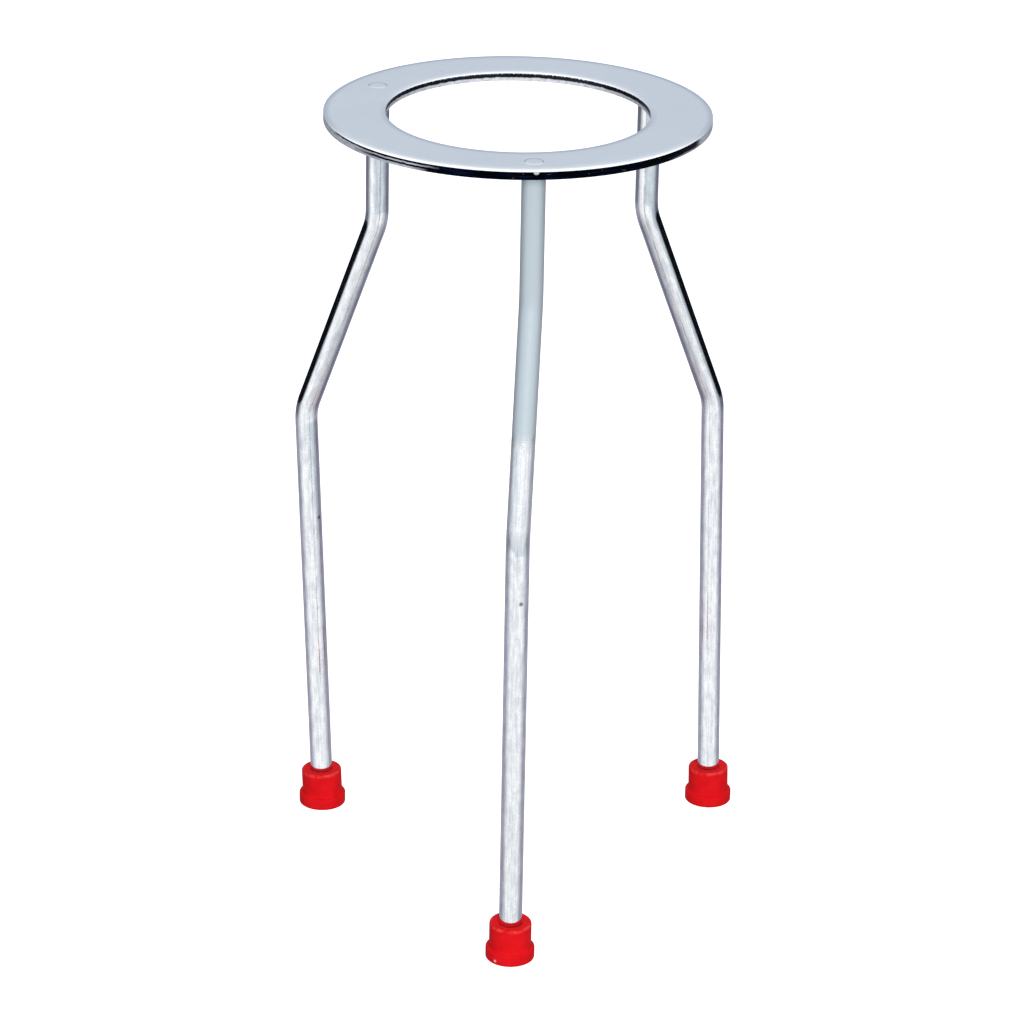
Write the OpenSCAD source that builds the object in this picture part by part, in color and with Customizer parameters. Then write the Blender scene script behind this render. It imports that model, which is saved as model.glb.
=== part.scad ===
// Lab tripod stand: a flat ring plate on three bent rod legs, each ending in a soft push-on foot.
// Millimetres, +Z up. The origin is on the ring's axis, on the floor.
// +X is to the right, and -Y is towards the front, where the front leg stands.

/* [Stand] */
// Height from the floor to the ring's top face
stand_h = 213.3; // [180:0.1:260]

/* [Ring] */
// Outside diameter of the ring plate
ring_od = 100; // [94:0.5:140]
// Diameter of the opening in the ring plate
ring_id = 68; // [40:0.5:76]
// Thickness of the ring plate
ring_t = 2.2; // [1.6:0.1:5]
// Rounding of the ring's outer edges
ring_edge_r = 0.5; // [0.1:0.05:0.7]
// Rounding of the edges round the opening
opening_edge_r = 0.25; // [0.1:0.05:0.7]

/* [Legs] */
// Diameter of the leg rods
rod_d = 6.1; // [4:0.1:8]
// Width of the shoulder round the tenon on each rod's top end
shoulder_w = 0.55; // [0.3:0.05:1.2]
// Chamfer of the shoulder's edge
shoulder_chamfer = 0.25; // [0.05:0.05:0.3]
// Gap between a tenon and its hole in the ring
tenon_gap = 0.02; // [0.01:0.01:0.2]
// Radius of the rods' centre line in each bend
bend_r = 17; // [8:0.5:30]
// Swell of a rod's radius in its bends
bend_swell = 0.02; // [0.01:0.01:0.1]
// Distance between the corners of a leg's two bends, along the rod
slant_l = 61.3; // [40:0.1:80]

/* [Front, right and left leg in turn] */
// Bearing of each tenon round the ring, in degrees from +X
leg_bearing = [-84.3, 34.9, 151.1]; // [-180:0.1:180]
// Turn of each leg's bends about its tenon, in degrees from straight outwards
leg_turn = [-11.3, -8.7, 4.4]; // [-20:0.1:20]
// Depth of each leg's first corner below the ring's top face
leg_upper = [36.3, 34.3, 37]; // [20:0.1:60]
// Angle of each leg's outward bend, in degrees
leg_out = [21.6, 21.5, 20.4]; // [12:0.1:32]
// Angle of each leg's return bend, in degrees
leg_back = [23.9, 20.1, 22.6]; // [12:0.1:32]
// Twist of the rod between each leg's two bends, in degrees
leg_twist = [0.5, 1.3, 1.3]; // [-5:0.1:5]

/* [Feet] */
// Thickness of the foot's wall round the rod
grip_wall = 2.5; // [1.5:0.1:6]
// Height of a foot, flange and body together
foot_h = 10.4; // [7:0.1:20]
// Width of the flange's ledge round the foot's body
ledge_w = 0.9; // [0.4:0.1:3]
// Height of the flange
flange_h = 3.2; // [2:0.1:5]
// Thickness of the foot's base under the rod's end
sole_t = 2.8; // [1.5:0.1:5]
// Gap between a foot's bore and the rod in it
grip_gap = 0.02; // [0.01:0.01:0.2]
// Rounding of the foot's top rim
rim_r = 0.6; // [0.1:0.05:0.8]
// Rounding of the flange's edges
flange_edge_r = 0.35; // [0.1:0.05:0.7]
// Chamfer of the bore's mouth
mouth_chamfer = 0.35; // [0.1:0.05:0.6]

/* [Hidden] */
SIDES = ["front", "right", "left"];
$fn = 96;
// How far a cut runs past the face that it opens through
past = 1;
// How far a straight stretch of rod runs into the swollen bends at its ends
seat = 0.3;

ring_r = ring_od / 2;
opening_r = ring_id / 2;
rod_r = rod_d / 2;
tenon_r = rod_r - shoulder_w;
// The tenons stand on the middle of the plate's width
station_r = (ring_r + opening_r) / 2;
bore_r = rod_r + grip_gap;
body_r = bore_r + grip_wall;
flange_r = body_r + ledge_w;

// Length of rod that a bend takes up on each side of its corner
function tangent(angle) = bend_r * tan(angle / 2);

// Height that the lowest stretch of leg i gains for each millimetre of its length
function rise(i) = cos(leg_out[i]) * cos(leg_back[i])
    + sin(leg_out[i]) * sin(leg_back[i]) * cos(leg_twist[i]);

// Length of leg i from its second corner to its end on the foot's sole
function lower_l(i) = (stand_h - leg_upper[i] - slant_l * cos(leg_out[i]) - sole_t) / rise(i);

// Puts children under the ring at tenon i, with +X along the leg's outward bend
module at_shoulder(i) {
    rotate([0, 0, leg_bearing[i]])
        translate([station_r, 0, stand_h - ring_t])
            rotate([0, 0, leg_turn[i]])
                children();
}

// Puts children at leg i's first corner, with -Z down its slanted stretch
module at_first_corner(i) {
    at_shoulder(i)
        translate([0, 0, ring_t - leg_upper[i]])
            rotate([0, -leg_out[i], 0])
                children();
}

// Puts children at leg i's second corner, with -Z down its lowest stretch
module at_second_corner(i) {
    at_first_corner(i)
        translate([0, 0, -slant_l])
            rotate([0, 0, leg_twist[i]])
                rotate([0, leg_back[i], 0])
                    children();
}

// Puts children on leg i's lowest stretch, at a height above the floor, along the rod
module at_height(i, height) {
    at_second_corner(i)
        translate([0, 0, (height - sole_t) / rise(i) - lower_l(i)])
            children();
}

// Turns children that stand along leg i's lowest stretch back to upright
module upright(i) {
    rotate([0, -leg_back[i], 0])
        rotate([0, 0, -leg_twist[i]])
            rotate([0, leg_out[i], 0])
                children();
}

// Section of what rounding takes off an upper right corner at the origin
module corner_waste(radius) {
    difference() {
        translate([-radius, -radius])
            square(2 * radius);
        translate([-radius, -radius])
            circle(radius);
    }
}

// Section of a plate of some width, from x = 0, with its two right corners rounded
module plate_section(width, height, edge) {
    difference() {
        square([width, height]);
        translate([width, height])
            corner_waste(edge);
        translate([width, 0])
            mirror([0, 1])
                corner_waste(edge);
    }
}

// Straight stretch of rod from one depth below the origin to another
module rod_run(from, to) {
    translate([0, 0, -to])
        cylinder(r = rod_r, h = to - from);
}

// Bend that starts above a corner at the origin, down -Z, and turns towards +X
module rod_bend(angle) {
    translate([bend_r, 0, tangent(angle)])
        rotate([90, 0, 0])
            rotate([0, 0, 180])
                rotate_extrude(angle = angle)
                    translate([bend_r, 0])
                        circle(r = rod_r + bend_swell);
}

// The flat plate with its round opening and a drilled hole for each tenon
module ring() {
    color("lightsteelblue")
        difference() {
            translate([0, 0, stand_h - ring_t])
                rotate_extrude() {
                    translate([station_r, 0])
                        plate_section(ring_r - station_r, ring_t, ring_edge_r);
                    translate([station_r, 0])
                        mirror([1, 0])
                            plate_section(station_r - opening_r, ring_t, opening_edge_r);
                }
            for (i = [0 : 2])
                at_shoulder(i)
                    translate([0, 0, -past])
                        cylinder(r = tenon_r + tenon_gap, h = ring_t + 2 * past);
        }
}

// One rod: turned tenon and shoulder, straight, outward bend, slant, return bend, straight
module leg(i) {
    out_end = tangent(leg_out[i]) - seat;
    back_end = tangent(leg_back[i]) - seat;
    color("gainsboro") {
        at_shoulder(i) {
            cylinder(r = tenon_r, h = ring_t);
            translate([0, 0, -shoulder_chamfer])
                cylinder(r1 = rod_r, r2 = rod_r - shoulder_chamfer, h = shoulder_chamfer);
            rod_run(shoulder_chamfer, leg_upper[i] - ring_t - out_end);
            translate([0, 0, ring_t - leg_upper[i]])
                rod_bend(leg_out[i]);
        }
        at_first_corner(i) {
            rod_run(out_end, slant_l - back_end);
            translate([0, 0, -slant_l])
                rotate([0, 0, leg_twist[i]])
                    mirror([1, 0, 0])
                        rod_bend(leg_back[i]);
        }
        at_second_corner(i)
            rod_run(back_end, lower_l(i));
    }
}

// One moulded foot: the flange lies flat on the floor, and the body leans with its rod
module foot(i) {
    body_start = flange_h / 2;
    body_h = (foot_h - body_start) / rise(i);
    grip_h = (foot_h - sole_t) / rise(i);
    color("red")
        difference() {
            union() {
                at_height(i, flange_h)
                    upright(i)
                        translate([0, 0, -flange_h])
                            rotate_extrude()
                                plate_section(flange_r, flange_h, flange_edge_r);
                at_height(i, body_start)
                    rotate_extrude()
                        difference() {
                            square([body_r, body_h]);
                            translate([body_r, body_h])
                                corner_waste(rim_r);
                        }
            }
            at_height(i, sole_t) {
                cylinder(r = bore_r, h = grip_h + past);
                translate([0, 0, grip_h - mouth_chamfer])
                    cylinder(r1 = bore_r, r2 = bore_r + mouth_chamfer + past, h = mouth_chamfer + past);
            }
        }
}

ring();
for (i = [0 : 2]) leg(i);
for (i = [0 : 2]) foot(i);
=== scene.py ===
import math

import bpy
import numpy as np
from mathutils import Matrix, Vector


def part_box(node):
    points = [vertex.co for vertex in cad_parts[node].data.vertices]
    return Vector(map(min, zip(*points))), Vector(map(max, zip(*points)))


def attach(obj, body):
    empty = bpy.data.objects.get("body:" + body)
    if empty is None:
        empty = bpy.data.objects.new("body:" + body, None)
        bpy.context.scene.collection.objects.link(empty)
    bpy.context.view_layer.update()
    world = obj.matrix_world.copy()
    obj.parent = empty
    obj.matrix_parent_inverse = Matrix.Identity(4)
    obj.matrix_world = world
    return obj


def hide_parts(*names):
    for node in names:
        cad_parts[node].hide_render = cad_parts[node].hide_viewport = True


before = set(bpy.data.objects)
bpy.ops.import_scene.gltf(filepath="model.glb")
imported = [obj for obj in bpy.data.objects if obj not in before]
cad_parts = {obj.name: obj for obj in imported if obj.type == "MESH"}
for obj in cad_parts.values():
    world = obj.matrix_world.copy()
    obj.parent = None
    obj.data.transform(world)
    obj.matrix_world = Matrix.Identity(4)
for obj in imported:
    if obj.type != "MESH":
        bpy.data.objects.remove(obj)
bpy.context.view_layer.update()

# The camera stands about a metre in front of the stand, above its ring, and looks down at it.
# It is a long lens, so the legs hardly converge, and it is turned a little about its own axis.
mm = 0.001
camera_place = (0, -994.765 * mm, 521.216 * mm)
camera_yaw = 0.000385
camera_dip = 0.399123
camera_roll = 0.0190995
lens_length = 142.037
sensor_width = 36
camera_data = bpy.data.cameras.new("view_camera")
camera_data.lens = lens_length
camera_data.sensor_width = sensor_width
camera = bpy.data.objects.new("view_camera", camera_data)
camera.matrix_world = (
    Matrix.Translation(camera_place)
    @ Matrix.Rotation(-camera_yaw, 4, "Z")
    @ Matrix.Rotation(math.pi / 2 - camera_dip, 4, "X")
    @ Matrix.Rotation(camera_roll, 4, "Z")
)
bpy.context.scene.collection.objects.link(camera)
bpy.context.scene.camera = camera
bpy.context.scene.view_settings.view_transform = "Standard"


# The floor is a round sheet of matt white board, plain and pale. It glows a little of itself, so that
# it stays white all round the stand, and neither mirrors nor the stand's shaded sides see it.
floor_depth = 0.05 * mm
floor_radius = 1500 * mm
floor_corners = 96
floor_white = (0.9, 0.9, 0.9, 1)
floor_glow = 0.85


def blank_material(name):
    """A new material with its node tree, whose only node yet is its output."""
    material = bpy.data.materials.new(name)
    material.use_nodes = True
    material.node_tree.nodes.clear()
    material.node_tree.nodes.new("ShaderNodeOutputMaterial")
    return material, material.node_tree


board, board_tree = blank_material("floor_board")
board_shader = board_tree.nodes.new("ShaderNodeBsdfDiffuse")
board_shader.inputs["Color"].default_value = floor_white
board_light = board_tree.nodes.new("ShaderNodeEmission")
board_light.inputs["Strength"].default_value = floor_glow
board_sum = board_tree.nodes.new("ShaderNodeAddShader")
board_tree.links.new(board_shader.outputs[0], board_sum.inputs[0])
board_tree.links.new(board_light.outputs[0], board_sum.inputs[1])
board_tree.links.new(board_sum.outputs[0], board_tree.nodes["Material Output"].inputs["Surface"])

spoke = np.linspace(0, 2 * np.pi, floor_corners + 1)[:-1]
floor_heights = np.full(floor_corners, -floor_depth)
floor_rim = np.stack([floor_radius * np.cos(spoke), floor_radius * np.sin(spoke), floor_heights], -1)
rim_corner = np.arange(floor_corners)
floor_middle = np.full(floor_corners, floor_corners)
floor_faces = np.stack([rim_corner, (rim_corner + 1) % floor_corners, floor_middle], -1)
floor_mesh = bpy.data.meshes.new("floor")
floor_mesh.from_pydata(np.vstack([floor_rim, (0, 0, -floor_depth)]).tolist(), [], floor_faces.tolist())
floor_mesh.materials.append(board)
floor = bpy.data.objects.new("floor", floor_mesh)
floor.visible_glossy = False
floor.visible_diffuse = False
bpy.context.scene.collection.objects.link(floor)


# The room is what bright metal mirrors: pale walls, white below and in front, dull below and behind, a
# bright ceiling that dims overhead, and a dark line low down at the sides and the back. Matt surfaces
# see an even pale light in its place, and the eye sees plain white.
even_light = 0.35
plain_white = (1, 1, 1, 1)
black = (0.0, 0.0, 0.0)
white = (1.0, 1.0, 1.0)
dark_wall = (0.003, 0.004, 0.006)
front_wall = (0.72, 0.8, 0.84)
front_wall_top = (0.82, 0.84, 0.87)
left_wall = (0.7, 0.79, 0.83)
back_wall = (0.648, 0.705, 0.776)
low_front = [(-48, (0.7, 0.71, 0.74)), (-38, (0.9, 0.92, 0.94)), (-30, (1.06, 1.08, 1.09))]
ceiling = (1.4, 1.42, 1.44)
overhead = (0.62, 0.66, 0.72)
high_up = [(50, ceiling), (62, overhead)]
# Where one side of the room gives way to the next, as X or Y of a direction one unit long
front_to_left = (-0.3, -0.6)
front_to_back = (-0.55, 0.2)
dark_line_reach = (-0.32, -0.12)
world = bpy.data.worlds.new("studio")
world.use_nodes = True
bpy.context.scene.world = world
room = world.node_tree
room.nodes.clear()


def spread(tree, value, low, high):
    """The value's place between low and high, as a share from 0 to 1, held at both ends."""
    share = tree.nodes.new("ShaderNodeMapRange")
    share.inputs["From Min"].default_value = low
    share.inputs["From Max"].default_value = high
    tree.links.new(value, share.inputs["Value"])
    return share.outputs["Result"]


def blended(tree, share, first, second):
    """The colour that lies that share of the way from the first to the second."""
    mix = tree.nodes.new("ShaderNodeMix")
    mix.data_type = "RGBA"
    tree.links.new(share, mix.inputs["Factor"])
    for socket, colour in ((mix.inputs[6], first), (mix.inputs[7], second)):
        if isinstance(colour, tuple):
            socket.default_value = (*colour, 1)
        else:
            tree.links.new(colour, socket)
    return mix.outputs[2]


def sky(share, stops):
    """A colour ramp from straight down to straight up, from (elevation in degrees, colour) stops."""
    ramp = room.nodes.new("ShaderNodeValToRGB")
    room.links.new(share, ramp.inputs["Fac"])
    while len(ramp.color_ramp.elements) < len(stops):
        ramp.color_ramp.elements.new(1)
    for element, (elevation, colour) in zip(ramp.color_ramp.elements, stops):
        element.position = (1 + math.sin(math.radians(elevation))) / 2
        element.color = (*colour, 1)
    return ramp.outputs["Color"]


room_way = room.nodes.new("ShaderNodeTexCoord")
room_axes = room.nodes.new("ShaderNodeSeparateXYZ")
room.links.new(room_way.outputs["Generated"], room_axes.inputs[0])
room_rise = spread(room, room_axes.outputs["Z"], -1, 1)
in_front = sky(room_rise, [
    (-80, (0.55, 0.56, 0.6)),
    *low_front,
    (-20.6, (1.08, 1.1, 1.11)),
    (-19.6, front_wall),
    (-13, front_wall),
    (0, front_wall_top),
    (22, front_wall_top),
    (27, ceiling),
    *high_up,
])
at_left = sky(room_rise, [
    *low_front,
    (-14, (1.18, 1.2, 1.2)),
    (-11.5, (0.5, 0.55, 0.65)),
    (-4, left_wall),
    (22, left_wall),
    (27, ceiling),
    *high_up,
])
behind = sky(room_rise, [
    (-80, (0.2, 0.2, 0.26)),
    (-40, (0.2, 0.2, 0.27)),
    (-27, (0.42, 0.42, 0.5)),
    (-21, (0.32, 0.32, 0.4)),
    (-17, (0.14, 0.15, 0.2)),
    (-10, (0.2, 0.22, 0.28)),
    (1, (0.36, 0.43, 0.54)),
    (9, (0.45, 0.53, 0.65)),
    (15.8, back_wall),
    (18.7, back_wall),
    (20.6, (0.86, 0.9, 0.94)),
    (22.4, ceiling),
    *high_up,
])
left_share = spread(room, room_axes.outputs["X"], *front_to_left)
whole_front = blended(room, left_share, in_front, at_left)
room_depth = spread(room, room_axes.outputs["Y"], *front_to_back)
whole_room = blended(room, room_depth, whole_front, behind)
dark_line = sky(room_rise, [(-13.8, black), (-12.2, white), (-4, white), (-2, black)])
dark_reach = spread(room, room_axes.outputs["Y"], *dark_line_reach)
dark_share = blended(room, dark_reach, black, dark_line)
room_colour = blended(room, dark_share, whole_room, dark_wall)
room_light = room.nodes.new("ShaderNodeBackground")
room.links.new(room_colour, room_light.inputs["Color"])
room_shade = room.nodes.new("ShaderNodeBackground")
room_shade.inputs["Color"].default_value = plain_white
room_shade.inputs["Strength"].default_value = even_light
backdrop = room.nodes.new("ShaderNodeBackground")
backdrop.inputs["Color"].default_value = plain_white
room_kind = room.nodes.new("ShaderNodeLightPath")
room_soft = room.nodes.new("ShaderNodeMixShader")
room.links.new(room_kind.outputs["Is Diffuse Ray"], room_soft.inputs["Fac"])
room.links.new(room_light.outputs[0], room_soft.inputs[1])
room.links.new(room_shade.outputs[0], room_soft.inputs[2])
room_pick = room.nodes.new("ShaderNodeMixShader")
room.links.new(room_kind.outputs["Is Camera Ray"], room_pick.inputs["Fac"])
room.links.new(room_soft.outputs[0], room_pick.inputs[1])
room.links.new(backdrop.outputs[0], room_pick.inputs[2])
room_output = room.nodes.new("ShaderNodeOutputWorld")
room.links.new(room_pick.outputs[0], room_output.inputs["Surface"])


# One broad soft light stands behind the camera, a little to its right. Mirrors see the room instead.
softbox_width = 550 * mm
softbox_power = 16
softbox_place = (130 * mm, -1200 * mm, 700 * mm)
softbox_turn = math.radians(6)
softbox_tilt = math.radians(60)
softbox_data = bpy.data.lights.new("front_softbox", "AREA")
softbox_data.size = softbox_width
softbox_data.energy = softbox_power
softbox = bpy.data.objects.new("front_softbox", softbox_data)
softbox.matrix_world = (
    Matrix.Translation(softbox_place)
    @ Matrix.Rotation(softbox_turn, 4, "Z")
    @ Matrix.Rotation(softbox_tilt, 4, "X")
)
softbox.visible_glossy = False
bpy.context.scene.collection.objects.link(softbox)


# The ring is a flat steel plate, turned and drilled, then polished and plated. Each leg's end is
# riveted through it and ground down, which leaves a faint round joint line on its top face.
ring_low, ring_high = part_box("ring")
ring_top = ring_high.z
ring_bottom = ring_low.z
ring_outer = (ring_high.x - ring_low.x) / 2
ring_opening = 34 * mm
station_radius = 42 * mm
edge_rounding = 0.07 * mm
outer_roll = 0.08
outer_roll_width = 1.6 * mm
opening_roll = 0.065
opening_roll_width = 2.3 * mm
leg_bearings = np.radians([-84.3, 34.9, 151.1])
tenon_radius = 2.3 * mm
tenon_rim = 0.16 * mm
tenon_rises = np.array([0.05, 0.002, 0.05]) * mm
nick_depth = 0.25 * mm
nick_reach = 0.6 * mm
nick_place = (4.8 * mm, -49.8 * mm, ring_top - 0.15 * mm)
top_rows = 130
top_crowding = 8
top_crowding_reach = 2.9 * mm
underside_rows = 14
ring_columns = 540
column_crowding = 10
column_crowding_reach = math.radians(4)
crowding_samples = 20001
crowding_steepness = 12


def crowded(start, end, count, middles, reach, crowding):
    """count values from start to end, crowding times closer together within reach of the middles.

    The density is 1 plus a smooth bump at each middle, and the values cut its integral equally."""
    fine = np.linspace(start, end, crowding_samples)
    away = np.abs(fine[:, None] - np.atleast_1d(middles)).min(1)
    density = 1 + crowding / (1 + (away / reach) ** crowding_steepness)
    total = np.concatenate([[0], np.cumsum((density[1:] + density[:-1]) / 2)])
    return np.interp(np.linspace(0, total[-1], count), total, fine)


def rounding(centre, radius, first, last, count=9):
    """Points (r, z) on an arc about centre, at equal steps from the first to the last angle."""
    turn = np.linspace(first, last, count)
    return np.stack([centre[0] + radius * np.cos(turn), centre[1] + radius * np.sin(turn)], -1)


def grid_piece(name, points, chart, looped, material):
    """A closed mesh over points[row, column], whose columns wrap round.

    Rows wrap too if looped; if not, the first and last rows are each drawn together on a pole at
    their mean. chart[row, column] is each point's place on the piece's flat pattern, in metres,
    with one column more than points, and one row more if looped, so the pattern has no jump."""
    rows, columns = points.shape[:2]
    corner = np.arange(rows * columns).reshape(rows, columns)
    corner = np.hstack([corner, corner[:, :1]])
    if looped:
        corner = np.vstack([corner, corner[:1]])

    def quads(grid):
        around = [grid[:-1, :-1], grid[:-1, 1:], grid[1:, 1:], grid[1:, :-1]]
        return np.stack(around, 2).reshape(-1, 4, *grid.shape[2:])

    vertices = points.reshape(-1, 3)
    faces = quads(corner).tolist()
    flat = quads(chart).reshape(-1, 2)
    if not looped:
        poles = [points[0].mean(0), points[-1].mean(0)]
        vertices = np.vstack([vertices, poles])
        below = np.full(columns, rows * columns)
        first = np.stack([corner[0, 1:], corner[0, :-1], below], -1)
        last = np.stack([corner[-1, :-1], corner[-1, 1:], below + 1], -1)
        faces += first.tolist() + last.tolist()
        middle = (chart[:, 1:] + chart[:, :-1]) / 2
        first_flat = np.stack([chart[0, 1:], chart[0, :-1], middle[0]], 1)
        last_flat = np.stack([chart[-1, :-1], chart[-1, 1:], middle[-1]], 1)
        flat = np.vstack([flat, first_flat.reshape(-1, 2), last_flat.reshape(-1, 2)])
    mesh = bpy.data.meshes.new(name)
    mesh.from_pydata(vertices.tolist(), [], faces)
    mesh.uv_layers.new(name="pattern").data.foreach_set("uv", flat.astype(np.float32).ravel())
    mesh.polygons.foreach_set("use_smooth", np.ones(len(faces), bool))
    mesh.materials.append(material)
    mesh.update()
    piece = bpy.data.objects.new(name, mesh)
    bpy.context.scene.collection.objects.link(piece)
    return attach(piece, "root")


def ring_profile():
    """The plate's section as a closed loop of (r, z), up its outer edge and inwards over its top.

    Buffing rolls the top face down to its edges: its height is ring_top less roll * width *
    exp(-d / width), d being the distance from each edge. The four corners have small roundings."""
    quarter = math.pi / 2
    outer_centre = ring_outer - edge_rounding
    opening_centre = ring_opening + edge_rounding
    low_centre = ring_bottom + edge_rounding
    top_radii = crowded(outer_centre, opening_centre, top_rows,
                        station_radius, top_crowding_reach, top_crowding)
    outer_drop = outer_roll * outer_roll_width * np.exp((top_radii - ring_outer) / outer_roll_width)
    from_opening = np.exp((ring_opening - top_radii) / opening_roll_width)
    opening_drop = opening_roll * opening_roll_width * from_opening
    top = np.stack([top_radii, ring_top - outer_drop - opening_drop], -1)
    outer_head_centre = (outer_centre, top[0, 1] - edge_rounding)
    opening_head_centre = (opening_centre, top[-1, 1] - edge_rounding)
    outer_foot = rounding((outer_centre, low_centre), edge_rounding, -quarter, 0)
    outer_head = rounding(outer_head_centre, edge_rounding, 0, quarter)
    opening_head = rounding(opening_head_centre, edge_rounding, quarter, 2 * quarter)
    opening_foot = rounding((opening_centre, low_centre), edge_rounding, 2 * quarter, 3 * quarter)
    margin = 1.5 * edge_rounding
    underside_radii = np.linspace(ring_opening + margin, ring_outer - margin, underside_rows)
    underside = np.stack([underside_radii, np.full(underside_rows, ring_bottom)], -1)
    return np.vstack([outer_foot, outer_head[:-1], top, opening_head[1:], opening_foot, underside])


def ring_surface():
    """The section carried round the axis, raised a hair over each tenon, with one nick in its edge.

    Each rise is its height * (1 - tanh((d - r) / rim)) / 2, d being the distance from the tenon's
    middle and r its radius. The nick pulls the outer edge inwards by a bell of the distance."""
    profile = ring_profile()
    whole_turn = crowded(-math.pi, math.pi, ring_columns + 1,
                         leg_bearings, column_crowding_reach, column_crowding)
    angle = whole_turn[:-1]
    radius = profile[:, :1] + np.zeros_like(angle)
    z = profile[:, 1:] + np.zeros_like(angle)
    from_nick = np.stack([radius * np.cos(angle), radius * np.sin(angle), z], -1) - nick_place
    radius = radius - nick_depth * np.exp(-(np.linalg.norm(from_nick, axis=-1) / nick_reach) ** 2)
    x = radius * np.cos(angle)
    y = radius * np.sin(angle)
    on_top = profile[:, 1:] > (ring_top + ring_bottom) / 2
    for bearing, tenon_rise in zip(leg_bearings, tenon_rises):
        away = np.hypot(x - station_radius * math.cos(bearing), y - station_radius * math.sin(bearing))
        rise = tenon_rise * (1 - np.tanh((away - tenon_radius) / tenon_rim)) / 2
        z = z + np.where(on_top, rise, 0)
    steps = np.diff(np.vstack([profile, profile[:1]]), axis=0)
    run = np.concatenate([[0], np.cumsum(np.hypot(*steps.T))])
    turn = np.append(angle, angle[0] + 2 * math.pi) * ring_outer
    chart = np.stack(np.broadcast_arrays(turn[None, :], run[:, None]), -1)
    return np.stack([x, y, z], -1), chart


def noise(tree, vector, scale, detail, roughness):
    """Fractal noise along a vector socket, as a value from 0 to 1."""
    texture = tree.nodes.new("ShaderNodeTexNoise")
    texture.inputs["Scale"].default_value = scale
    texture.inputs["Detail"].default_value = detail
    texture.inputs["Roughness"].default_value = roughness
    tree.links.new(vector, texture.inputs["Vector"])
    return texture.outputs["Fac"]


def stretched(tree, vector, scale):
    """The vector multiplied along each axis, so that a pattern on it is drawn out."""
    mapping = tree.nodes.new("ShaderNodeMapping")
    mapping.inputs["Scale"].default_value = scale
    tree.links.new(vector, mapping.inputs["Vector"])
    return mapping.outputs["Vector"]


def mottled(tree, vector, scale, low, high, detail=3.0, roughness=0.55):
    """A noise's place between two of its values, as a share from 0 to 1.

    The scale is the noise's fineness in waves to the metre, or a pair of them, round and along a
    piece's flat pattern."""
    if isinstance(scale, tuple):
        vector = stretched(tree, vector, (*scale, 1))
        scale = 1
    return spread(tree, noise(tree, vector, scale, detail, roughness), low, high)


def between(tree, share, low, high):
    """The number that lies that share of the way from low to high."""
    scale = tree.nodes.new("ShaderNodeMapRange")
    scale.inputs["To Min"].default_value = low
    scale.inputs["To Max"].default_value = high
    tree.links.new(share, scale.inputs["Value"])
    return scale.outputs["Result"]


def worked(tree, operation, first, second=0):
    """The result of a sum on two values, each a socket or a number."""
    sum_node = tree.nodes.new("ShaderNodeMath")
    sum_node.operation = operation
    for socket, value in zip(sum_node.inputs, (first, second)):
        if isinstance(value, (int, float)):
            socket.default_value = value
        else:
            tree.links.new(value, socket)
    return sum_node.outputs[0]


def axes_of(tree, vector):
    """The X, Y and Z sockets of a vector socket."""
    parts = tree.nodes.new("ShaderNodeSeparateXYZ")
    tree.links.new(vector, parts.inputs[0])
    return parts.outputs["X"], parts.outputs["Y"], parts.outputs["Z"]


def distance_to(tree, vector, point):
    """The distance from a vector socket's place to a point, in metres."""
    gap = tree.nodes.new("ShaderNodeVectorMath")
    gap.operation = "DISTANCE"
    gap.inputs[1].default_value = point
    tree.links.new(vector, gap.inputs[0])
    return gap.outputs["Value"]


def distance_out(tree, vector):
    """The distance from the ring's upright axis to a vector socket's place, in metres."""
    return distance_to(tree, stretched(tree, vector, (1, 1, 0)), (0, 0, 0))


def relief(tree, height, distance, strength, under=None):
    """A bump of that height in metres, laid over another bump if one is given."""
    bump = tree.nodes.new("ShaderNodeBump")
    bump.inputs["Distance"].default_value = distance
    bump.inputs["Strength"].default_value = strength
    tree.links.new(height, bump.inputs["Height"])
    if under is not None:
        tree.links.new(under, bump.inputs["Normal"])
    return bump.outputs["Normal"]


def finish_of(name):
    """A new material with a Principled shader on its output, and its object and pattern places."""
    material, tree = blank_material(name)
    shader = tree.nodes.new("ShaderNodeBsdfPrincipled")
    tree.links.new(shader.outputs[0], tree.nodes["Material Output"].inputs["Surface"])
    place = tree.nodes.new("ShaderNodeTexCoord")
    return material, tree, shader, place.outputs["Object"], place.outputs["UV"]


# The flat faces are buffed bright, with soft smudges and a few pits. Painted shade greys the outer rim
# save at the front, and the opening's rim at the front. The joint line round two of the tenons is a thin
# grey circle.
smudged_plate = (0.785, 0.81, 0.86)
clean_plate = (0.81, 0.84, 0.87)
pit_grey = (0.2, 0.2, 0.23)
# The next grey is painted shade for the plate's rims.
painted_rim_shade_grey = (0.52, 0.56, 0.65)
joint_grey = (0.46, 0.47, 0.5)
plate_pits = (
    (-47.2 * mm, 6.1 * mm, ring_top),
    (-35.3 * mm, 5.1 * mm, ring_top),
    (-20.5 * mm, 33.9 * mm, ring_top),
)
plate_pit_edge = (0.22 * mm, 0.1 * mm)
rim_starts = 1.9 * mm
rim_full = 0.3 * mm
far_rim_shade_depths = (-28 * mm, -12 * mm)
near_opening_shade_depths = (8 * mm, -12 * mm)
joint_edge = (0.3 * mm, 0.12 * mm)
marked_bearings = (leg_bearings[0], leg_bearings[2])
# A pattern is its fineness, the two values that bound it, then its detail and roughness if not plain
smudge_pattern = (45, 0.3, 0.7)
haze_pattern = (260, 0.35, 0.75, 4)
plate_roughness = (0.05, 0.09)
ripple_noise = (30, 1, 0.55)
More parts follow.
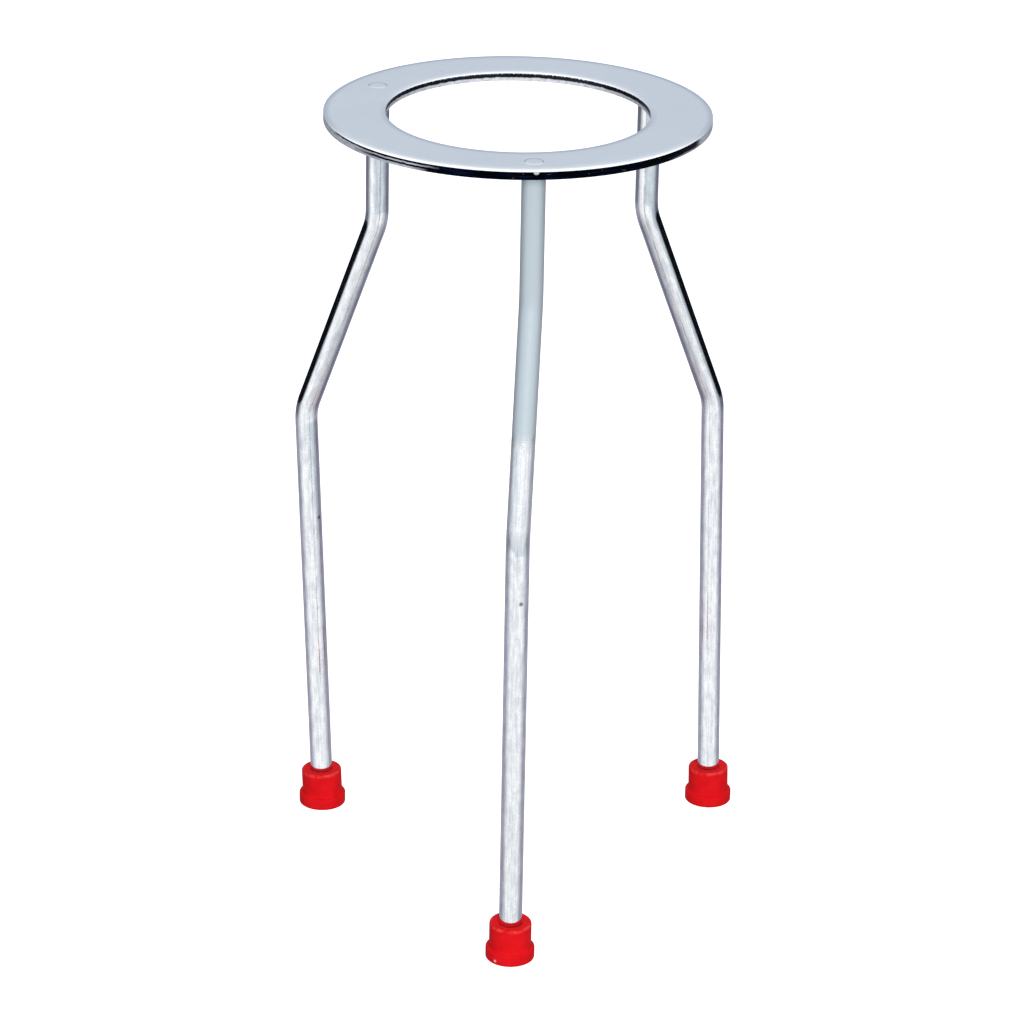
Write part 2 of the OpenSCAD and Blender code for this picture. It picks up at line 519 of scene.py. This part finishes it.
# A relief is its depth and its strength
ripple_relief = (0.02 * mm, 0.5)
haze_relief = (0.002 * mm, 0.5)
plate, tree, shader, solid_place, flat_place = finish_of("polished_plate")
shader.inputs["Metallic"].default_value = 1
smudge = mottled(tree, solid_place, *smudge_pattern)
haze = mottled(tree, solid_place, *haze_pattern)
plate_colour = blended(tree, smudge, smudged_plate, clean_plate)
for pit_place in plate_pits:
    pit = spread(tree, distance_to(tree, solid_place, pit_place), *plate_pit_edge)
    plate_colour = blended(tree, pit, plate_colour, pit_grey)
plate_depth = axes_of(tree, solid_place)[1]
plate_reach = distance_out(tree, solid_place)
outer_rim = spread(tree, plate_reach, ring_outer - rim_starts, ring_outer - rim_full)
opening_rim = spread(tree, plate_reach, ring_opening + rim_starts, ring_opening + rim_full)
# Painted shade: grey over the outer rim except at the front, and over the opening's rim at the front.
far_rim_painted_shade = worked(tree, "MULTIPLY", outer_rim, spread(tree, plate_depth, *far_rim_shade_depths))
near_opening_painted_shade = worked(tree, "MULTIPLY", opening_rim, spread(tree, plate_depth, *near_opening_shade_depths))
plate_colour = blended(tree, worked(tree, "ADD", far_rim_painted_shade, near_opening_painted_shade), plate_colour, painted_rim_shade_grey)
for bearing in marked_bearings:
    tenon_place = (station_radius * math.cos(bearing), station_radius * math.sin(bearing), ring_top)
    from_joint = worked(tree, "SUBTRACT", distance_to(tree, solid_place, tenon_place), tenon_radius)
    joint = spread(tree, worked(tree, "ABSOLUTE", from_joint), *joint_edge)
    plate_colour = blended(tree, joint, plate_colour, joint_grey)
tree.links.new(plate_colour, shader.inputs["Base Color"])
tree.links.new(between(tree, haze, *plate_roughness), shader.inputs["Roughness"])
ripple = relief(tree, noise(tree, solid_place, *ripple_noise), *ripple_relief)
tree.links.new(relief(tree, haze, *haze_relief, ripple), shader.inputs["Normal"])

# The cut edges are painted near black with blue tints, a painted dark reflection, and carry painted
# glints.
# Painted reflections lighten the outer edge at its left end, low down at both sides, along one streak and
# at the nick, and the opening's wall low down and along its top. At the back the edge is plain pale
# metal.
# A stretch of painted reflection is where it starts and ends along X, then down the edge.
left_reflection_band = ((-36 * mm, -41 * mm), (0.5 * mm, 0.65 * mm))
low_left_reflection_band = ((-22 * mm, -28 * mm), (1.5 * mm, 1.65 * mm))
low_right_reflection_band = ((38 * mm, 43 * mm), (1.6 * mm, 1.8 * mm))
back_pale_metal_depths = (-22 * mm, -19 * mm)
wall_reflection_drops = (1.15 * mm, 1.4 * mm)
reflection_streak_drop = 0.85 * mm
reflection_streak_edge = (0.24 * mm, 0.14 * mm)
reflection_streak_reach = (-19 * mm, -27 * mm)
nick_highlight_edge = (0.85 * mm, 0.6 * mm)
wall_glint_drop = (0.45 * mm, 0.25 * mm)
edge_wander_width = 0.9 * mm
edge_wander_middle = 0.45 * mm
inside_edge = 0.1 * mm
glint_brightness = 0.35
wander_stretch = (260, 0, 1)
wall_glint_pattern = ((1100, 500), 0.5, 0.56, 3, 0.7)
glint_pattern = ((420, 2200), 0.66, 0.7, 4, 0.7)
blue_pattern = ((90, 1500), 0.52, 0.75)
pale_mottle_pattern = ((500, 1800), 0.3, 0.7, 4, 0.7)
edge_roughness = (0.14, 0.45)
edge_metal = (1, 0.65)
# The edge's near black and blue are a painted dark reflection.
painted_dark_reflection = (0.001, 0.0015, 0.004)
painted_blue_reflection = (0.003, 0.013, 0.05)
pale_metal_grey = (0.45, 0.48, 0.56)
pale_metal_white = (0.98, 0.98, 0.98)
edge, tree, shader, solid_place, flat_place = finish_of("painted_reflection_edge")
from_left, edge_depth, edge_height = axes_of(tree, solid_place)
wander_noise = noise(tree, stretched(tree, flat_place, wander_stretch), 1, 4, 0.7)
edge_wander = worked(tree, "MULTIPLY", wander_noise, edge_wander_width)
edge_drop = worked(tree, "SUBTRACT", ring_top, edge_height)
drop = worked(tree, "ADD", worked(tree, "SUBTRACT", edge_drop, edge_wander_middle), edge_wander)


def painted_band(reach, drops):
    """A share from 0 to 1 along the edge, times a share down it."""
    return worked(tree, "MULTIPLY", spread(tree, from_left, *reach), spread(tree, drop, *drops))


# Painted reflections: pale metal bands laid into the painted black at the left end, low down at both
# sides and along one streak. The back is plain pale metal.
back_pale_metal = spread(tree, edge_depth, *back_pale_metal_depths)
left_grey_reflection = painted_band(*left_reflection_band)
reflection_streak_offset = worked(tree, "ABSOLUTE", worked(tree, "SUBTRACT", drop, reflection_streak_drop))
reflection_streak = worked(tree, "MULTIPLY", spread(tree, reflection_streak_offset, *reflection_streak_edge),
                spread(tree, from_left, *reflection_streak_reach))
# The nick's bright spot is a painted highlight.
nick_painted_highlight = spread(tree, distance_to(tree, solid_place, nick_place), *nick_highlight_edge)
bright_outside = back_pale_metal
for share in (left_grey_reflection, painted_band(*low_left_reflection_band), painted_band(*low_right_reflection_band), reflection_streak, nick_painted_highlight):
    bright_outside = worked(tree, "MAXIMUM", bright_outside, share)
edge_reach = distance_out(tree, solid_place)
inside = spread(tree, edge_reach, station_radius + inside_edge, station_radius - inside_edge)
# Painted glints along the top of the opening's wall.
wall_glints = mottled(tree, flat_place, *wall_glint_pattern)
ragged_wall_glints = worked(tree, "MULTIPLY", wall_glints, spread(tree, edge_drop, *wall_glint_drop))
# The wall's pale band low down is a painted reflection, joined by the painted glints along its top.
wall = worked(tree, "MAXIMUM", spread(tree, drop, *wall_reflection_drops), ragged_wall_glints)
bright_inside = worked(tree, "MULTIPLY", inside, wall)
bright_outside = worked(tree, "MULTIPLY", bright_outside, worked(tree, "SUBTRACT", 1, inside))
# Painted glints scattered over the whole edge.
painted_glints = mottled(tree, flat_place, *glint_pattern)
bright = worked(tree, "MAXIMUM", worked(tree, "ADD", bright_outside, bright_inside),
                worked(tree, "MULTIPLY", painted_glints, glint_brightness))
blueness = mottled(tree, flat_place, *blue_pattern)
pale_mottle = mottled(tree, flat_place, *pale_mottle_pattern)
painted_dark_edge = blended(tree, blueness, painted_dark_reflection, painted_blue_reflection)
light_edge = blended(tree, pale_mottle, pale_metal_grey, pale_metal_white)
dulled = worked(tree, "MAXIMUM", back_pale_metal, left_grey_reflection)
# Base colour: the painted dark reflection, lifted to pale metal by the painted reflections and glints.
tree.links.new(blended(tree, bright, painted_dark_edge, light_edge), shader.inputs["Base Color"])
tree.links.new(between(tree, bright, *edge_roughness), shader.inputs["Roughness"])
tree.links.new(between(tree, dulled, *edge_metal), shader.inputs["Metallic"])

# The faces of the section that stand more upright than level are the plate's edges.
ring_points, ring_chart = ring_surface()
ring_plate = grid_piece("ring_plate", ring_points, ring_chart, True, plate)
ring_plate.data.materials.append(edge)
edge_rows = np.zeros(len(ring_points), np.int32)
section_rise = np.diff(ring_points[:, 0, 2], append=ring_points[0, 0, 2])
section_reach = np.hypot(*np.diff(ring_points[:, 0, :2], axis=0, append=ring_points[:1, 0, :2]).T)
edge_rows[np.abs(section_rise) > section_reach] = 1
ring_plate.data.polygons.foreach_set("material_index", np.repeat(edge_rows, ring_points.shape[1]))
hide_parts("ring")


# The legs are drawn steel rod, bent twice and plated, each with a turned tenon at its top end. The
# drawing leaves fine lines along the rod, and the plating over them is a little cloudy. The front leg
# is satin on the outer side of its upper part, and half satin for a short way below.
rod_radius = 3.05 * mm
shoulder_chamfer = 0.25 * mm
shoulder_width = 0.55 * mm
chamfer_start = 0.02 * mm
bend_radius = 17 * mm
slant_length = 61.3 * mm
sole_thickness = 2.8 * mm
tenon_depth = 0.12 * mm
leg_sides = ("front", "right", "left")
leg_turns = np.radians([-11.3, -8.7, 4.4])
leg_uppers = np.array([36.3, 34.3, 37]) * mm
leg_outs = np.radians([21.6, 21.5, 20.4])
leg_backs = np.radians([23.9, 20.1, 22.6])
leg_twists = np.radians([0.5, 1.3, 1.3])
upper_rows = 24
bend_rows = 26
slant_rows = 40
lower_rows = 90
rod_columns = 96
satin_height = 145 * mm
satin_edge = 2 * mm
half_satin_run = (28 * mm, 21 * mm)
half_satin = 0.6
satin_sides = (-0.55, -0.2)
satin_colour = (0.5, 0.57, 0.615)
flat_relief = (0.5, 0.5, 0.5)
line_grey = (0.56, 0.58, 0.65)
line_white = (0.96, 0.97, 0.98)
cloud_grey = (0.62, 0.63, 0.67)
cloud_white = (0.98, 0.98, 0.97)
scratch_grey = (0.4, 0.38, 0.42)
rod_pit_grey = (0.24, 0.22, 0.25)
line_pattern = ((2400, 70), 0.35, 0.65)
cloud_pattern = ((650, 230), 0.38, 0.62, 5, 0.65)
grain_pattern = ((3000, 1500), 0.3, 0.7, 3, 0.6)
scratch_pattern = ((3600, 60), 0.72, 0.78, 2)
rod_roughness = (0.12, 0.06)
satin_roughness = 0.32
satin_metal = 0.42
line_relief = (0.006 * mm, 0.6)
grain_relief = (0.004 * mm, 0.7)
rod_pit_edge = (0.75 * mm, 0.35 * mm)
rod_pits = ((3.1 * mm, -66.45 * mm, 104.5 * mm), (-52.6 * mm, 27.05 * mm, 87.6 * mm))


def about(axis, angle):
    """The turn by an angle about the y or z axis, as a 3 by 3 matrix, or one for each angle."""
    angle = np.asarray(angle, float)
    cosine = np.cos(angle)
    sine = np.sin(angle)
    zero = np.zeros_like(angle)
    one = np.ones_like(angle)
    if axis == "y":
        rows = [[cosine, zero, sine], [zero, one, zero], [-sine, zero, cosine]]
    else:
        rows = [[cosine, -sine, zero], [sine, cosine, zero], [zero, zero, one]]
    return np.moveaxis(np.array(rows), (0, 1), (-2, -1))


def leg_route(leg):
    """The tenon's top, then places down a leg's centre line and the turn of its section at each.

    Straight down, an arc of bend_radius outwards in one plane, straight, an arc back in a plane
    twisted a little from the first, and straight down to the foot's sole."""
    bearing = leg_bearings[leg]
    heading = about("z", bearing + leg_turns[leg])
    slanted = heading @ about("y", -leg_outs[leg])
    twisted = slanted @ about("z", leg_twists[leg])
    lowered = twisted @ about("y", leg_backs[leg])
    down = np.array([0, 0, -1.0])
    top = np.array([station_radius * math.cos(bearing), station_radius * math.sin(bearing), ring_top])
    first_corner = top + leg_uppers[leg] * down
    second_corner = first_corner + slant_length * slanted @ down
    lower_length = (second_corner[2] - sole_thickness) / -(lowered @ down)[2]
    out_reach = bend_radius * math.tan(leg_outs[leg] / 2)
    back_reach = bend_radius * math.tan(leg_backs[leg] / 2)
    shoulder_depth = ring_top - ring_bottom + shoulder_chamfer

    def straight(start, way, begin, end, count):
        run = np.linspace(begin, end, count)
        return start + run[:, None] * (way @ down), np.broadcast_to(way, (count, 3, 3))

    def bend(corner, way, reach, angle, side):
        turned = np.linspace(0, angle, bend_rows)
        across = bend_radius * (1 - np.cos(turned)) * side
        along = bend_radius * np.sin(turned) - reach
        local = np.stack([across, np.zeros(bend_rows), -along], -1)
        return corner + local @ way.T, way @ about("y", -side * turned)

    stretches = [
        straight(top, heading, shoulder_depth, leg_uppers[leg] - out_reach, upper_rows),
        bend(first_corner, heading, out_reach, leg_outs[leg], 1),
        straight(first_corner, slanted, out_reach, slant_length - back_reach, slant_rows),
        bend(second_corner, twisted, back_reach, leg_backs[leg], -1),
        straight(second_corner, lowered, back_reach, lower_length, lower_rows),
    ]
    places = np.vstack([stretches[0][0]] + [stretch[0][1:] for stretch in stretches[1:]])
    turns = np.vstack([stretches[0][1]] + [stretch[1][1:] for stretch in stretches[1:]])
    return top, places, turns


def rod_surface(leg):
    """A circle of rod_radius carried down the leg's route, below a turned shoulder and tenon."""
    top, places, turns = leg_route(leg)
    around = np.linspace(0, 2 * np.pi, rod_columns + 1)[:-1]
    circle = np.stack([np.cos(around), -np.sin(around), np.zeros(rod_columns)], -1)
    shoulder = ring_top - ring_bottom
    tenon = rod_radius - shoulder_width
    shoulder_rim = rod_radius - shoulder_chamfer
    head_depths = np.array([tenon_depth, shoulder, shoulder, shoulder + chamfer_start])
    head_radii = np.array([tenon, tenon, shoulder_rim, shoulder_rim + chamfer_start])
    head_places = top + head_depths[:, None] * np.array([0, 0, -1])
    centres = np.vstack([head_places, places])
    sections = np.vstack([np.broadcast_to(turns[0], (len(head_depths), 3, 3)), turns])
    radii = np.concatenate([head_radii, np.full(len(places), rod_radius)])
    points = centres[:, None] + radii[:, None, None] * np.einsum("rij,cj->rci", sections, circle)
    run = np.concatenate([[0], np.cumsum(np.linalg.norm(np.diff(centres, axis=0), axis=1))])
    girth = np.linspace(0, 2 * np.pi * rod_radius, rod_columns + 1)
    chart = np.stack(np.broadcast_arrays(girth[None, :], run[:, None]), -1)
    return points, chart


def rod_finish(name, satin_above):
    """Plating over drawn lines and a clouded grain, satin on its outer side above any height given."""
    material, tree, shader, solid_place, flat_place = finish_of(name)
    lines = mottled(tree, flat_place, *line_pattern)
    cloud = mottled(tree, flat_place, *cloud_pattern)
    grain = mottled(tree, flat_place, *grain_pattern)
    scratch = mottled(tree, flat_place, *scratch_pattern)
    line_colour = blended(tree, lines, line_grey, line_white)
    cloud_colour = blended(tree, cloud, cloud_grey, cloud_white)
    grain_colour = blended(tree, grain, line_colour, cloud_colour)
    worn_colour = blended(tree, scratch, grain_colour, scratch_grey)
    for pit_place in rod_pits:
        pit = spread(tree, distance_to(tree, solid_place, pit_place), *rod_pit_edge)
        worn_colour = blended(tree, pit, worn_colour, rod_pit_grey)
    gloss = between(tree, cloud, *rod_roughness)
    shader.inputs["Metallic"].default_value = 1
    if satin_above is not None:
        height = axes_of(tree, solid_place)[2]
        girth = axes_of(tree, flat_place)[0]
        outward = worked(tree, "COSINE", worked(tree, "DIVIDE", girth, rod_radius))
        outer_side = spread(tree, outward, *satin_sides)
        upper_part = spread(tree, height, satin_above - satin_edge, satin_above + satin_edge)
        lower_part = spread(tree, height, *(satin_above - run for run in half_satin_run))
        satin = worked(tree, "MULTIPLY", outer_side, upper_part)
        half_way = worked(tree, "MULTIPLY", outer_side, worked(tree, "MULTIPLY", lower_part, half_satin))
        softness = worked(tree, "MAXIMUM", satin, half_way)
        worn_colour = blended(tree, satin, worn_colour, satin_colour)
        lines = blended(tree, satin, lines, flat_relief)
        grain = blended(tree, satin, grain, flat_relief)
        tree.links.new(between(tree, softness, 1, satin_metal), shader.inputs["Metallic"])
        gloss = worked(tree, "ADD", gloss, worked(tree, "MULTIPLY", softness, satin_roughness))
    tree.links.new(worn_colour, shader.inputs["Base Color"])
    tree.links.new(gloss, shader.inputs["Roughness"])
    drawn = relief(tree, lines, *line_relief)
    tree.links.new(relief(tree, grain, *grain_relief, drawn), shader.inputs["Normal"])
    return material


rear_finish = rod_finish("plated_rod", None)
front_finish = rod_finish("plated_front_rod", satin_height)
rod_finishes = (front_finish, rear_finish, rear_finish)
for leg, side in enumerate(leg_sides):
    rod = grid_piece(f"rod_{side}", *rod_surface(leg), False, rod_finishes[leg])
    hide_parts(f"leg_{side}")


# Each foot is a red cap moulded in soft rubber and pushed over the rod's end. Its flange lies flat
# on the floor, and its body leans with the rod. A patchy painted highlight lightens the rim, and dust
# and a bloom lie on the rest.
bore_radius = 3.07 * mm
body_radius = 5.57 * mm
flange_radius = 6.47 * mm
foot_height = 10.4 * mm
flange_height = 3.2 * mm
rim_rounding = 0.6 * mm
flange_rounding = 0.35 * mm
mouth_rounding = 0.3 * mm
ledge_fillet = 0.25 * mm
pole_radius = 0.02 * mm
sole_radii = (2 * mm, 4 * mm)
bore_row = 2 * mm
bore_floor = -0.01 * mm
flange_rows = 7
fillet_rows = 6
rim_rows = 9
mouth_rows = 7
rim_row = 1 + len(sole_radii) + 2 * flange_rows + fillet_rows + rim_rows // 2
foot_columns = 128
dull_red = (0.66, 0.007, 0.011)
clear_red = (0.76, 0.01, 0.015)
dusty_red = (0.8, 0.04, 0.04)
# The next red is a painted highlight for the feet's rims.
rim_highlight_red = (0.78, 0.055, 0.05)
rim_highlight_edge = (0.75 * mm, 0.15 * mm)
speck_edge = (0.45 * mm, 0.25 * mm)
pale_speck = ((-1.85 * mm, -64.73 * mm, 1.16 * mm), (0.85, 0.5, 0.4))
dark_speck = ((57.39 * mm, 27.94 * mm, 0.1 * mm), (0.05, 0.001, 0.001))
skin_pattern = (3200, 0.3, 0.7, 2)
bloom_pattern = (320, 0.35, 0.7, 4)
dust_pattern = (1500, 0.72, 0.8)
rim_highlight_pattern = (700, 0.4, 0.62, 3, 0.7)
skin_relief = (0.01 * mm, 0.5)
rubber_roughness = (0.3, 0.42)
rubber_shine = 0.015


def foot_surface(leg):
    """A turned section whose lower rows lie level and whose upper rows stand square to the rod.

    Level rows are circles about the upright axis through the rod's axis at the flange's height.
    Leaning rows are circles about the rod's axis. The fillet between them is drawn from the level
    ledge to the body, each point sliding along the rod's axis until it meets the ledge's height."""
    places, turns = leg_route(leg)[1:]
    end = places[-1]
    axis = turns[-1] @ np.array([0, 0, 1.0])
    rise = axis[2]
    quarter = math.pi / 2
    around = np.linspace(0, 2 * np.pi, foot_columns + 1)[:-1]
    flange_top = (flange_height - sole_thickness) / rise
    flange_middle = end + axis * flange_top
    flange_centre = flange_radius - flange_rounding
    flange_head = (flange_centre, flange_height - flange_rounding)
    level = np.vstack([
        [[pole_radius, 0]],
        [[radius, 0] for radius in sole_radii],
        rounding((flange_centre, flange_rounding), flange_rounding, -quarter, 0, flange_rows),
        rounding(flange_head, flange_rounding, 0, quarter, flange_rows),
    ])
    level_x = flange_middle[0] + level[:, :1] * np.cos(around)
    level_y = flange_middle[1] + level[:, :1] * np.sin(around)
    level_z = np.repeat(level[:, 1:], foot_columns, 1)
    level_points = np.stack([level_x, level_y, level_z], -1)
    body_top = (foot_height - sole_thickness) / rise
    fillet_centre = (body_radius + ledge_fillet, ledge_fillet)
    fillet = rounding(fillet_centre, ledge_fillet, -quarter, -2 * quarter, fillet_rows)
    fillet[:, 1] += flange_top
    rim_centre = (body_radius - rim_rounding, body_top - rim_rounding)
    mouth_centre = (bore_radius + mouth_rounding, body_top - mouth_rounding)
    leaning = np.vstack([
        fillet,
        rounding(rim_centre, rim_rounding, 0, quarter, rim_rows),
        rounding(mouth_centre, mouth_rounding, quarter, 2 * quarter, mouth_rows),
        [[bore_radius, bore_row]],
        [[bore_radius, bore_floor]],
        [[pole_radius, bore_floor]],
    ])
    first = np.cross(np.array([0, 1.0, 0]), axis)
    first = first / np.linalg.norm(first)
    second = np.cross(axis, first)
    across = np.cos(around)[:, None] * first + np.sin(around)[:, None] * second
    leaning_points = end + leaning[:, None, :1] * across + leaning[:, None, 1:] * axis
    ledge_heights = flange_height + (fillet[:, 1] - flange_top)
    slide = (ledge_heights[:, None] - leaning_points[:fillet_rows, :, 2]) / rise
    leaning_points[:fillet_rows] += slide[:, :, None] * axis
    points = np.vstack([level_points, leaning_points])
    spans = np.linalg.norm(np.diff(points[:, 0], axis=0), axis=1)
    run = np.concatenate([[0], np.cumsum(spans)])
    girth = np.linspace(0, 2 * np.pi * body_radius, foot_columns + 1)
    chart = np.stack(np.broadcast_arrays(girth[None, :], run[:, None]), -1)
    return points, chart


foot_grids = [foot_surface(leg) for leg in range(len(leg_sides))]
rim_place = float(foot_grids[0][1][rim_row, 0, 1])
rubber, tree, shader, solid_place, flat_place = finish_of("moulded_red_rubber")
skin = mottled(tree, solid_place, *skin_pattern)
bloom = mottled(tree, solid_place, *bloom_pattern)
dust = mottled(tree, solid_place, *dust_pattern)
red = blended(tree, bloom, dull_red, clear_red)
red = blended(tree, dust, red, dusty_red)
from_rim = worked(tree, "ABSOLUTE", worked(tree, "SUBTRACT", axes_of(tree, flat_place)[1], rim_place))
# The rim's lighter patches are a painted highlight.
rim_highlight_mottle = mottled(tree, solid_place, *rim_highlight_pattern)
rim_highlight = worked(tree, "MULTIPLY", rim_highlight_mottle, spread(tree, from_rim, *rim_highlight_edge))
red = blended(tree, rim_highlight, red, rim_highlight_red)
for speck_place, speck_colour in (pale_speck, dark_speck):
    speck = spread(tree, distance_to(tree, solid_place, speck_place), *speck_edge)
    red = blended(tree, speck, red, speck_colour)
tree.links.new(red, shader.inputs["Base Color"])
tree.links.new(between(tree, bloom, *rubber_roughness), shader.inputs["Roughness"])
shader.inputs["Specular IOR Level"].default_value = rubber_shine
tree.links.new(relief(tree, skin, *skin_relief), shader.inputs["Normal"])

for side, foot_grid in zip(leg_sides, foot_grids):
    foot = grid_piece(f"rubber_foot_{side}", *foot_grid, False, rubber)
    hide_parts(f"foot_{side}")
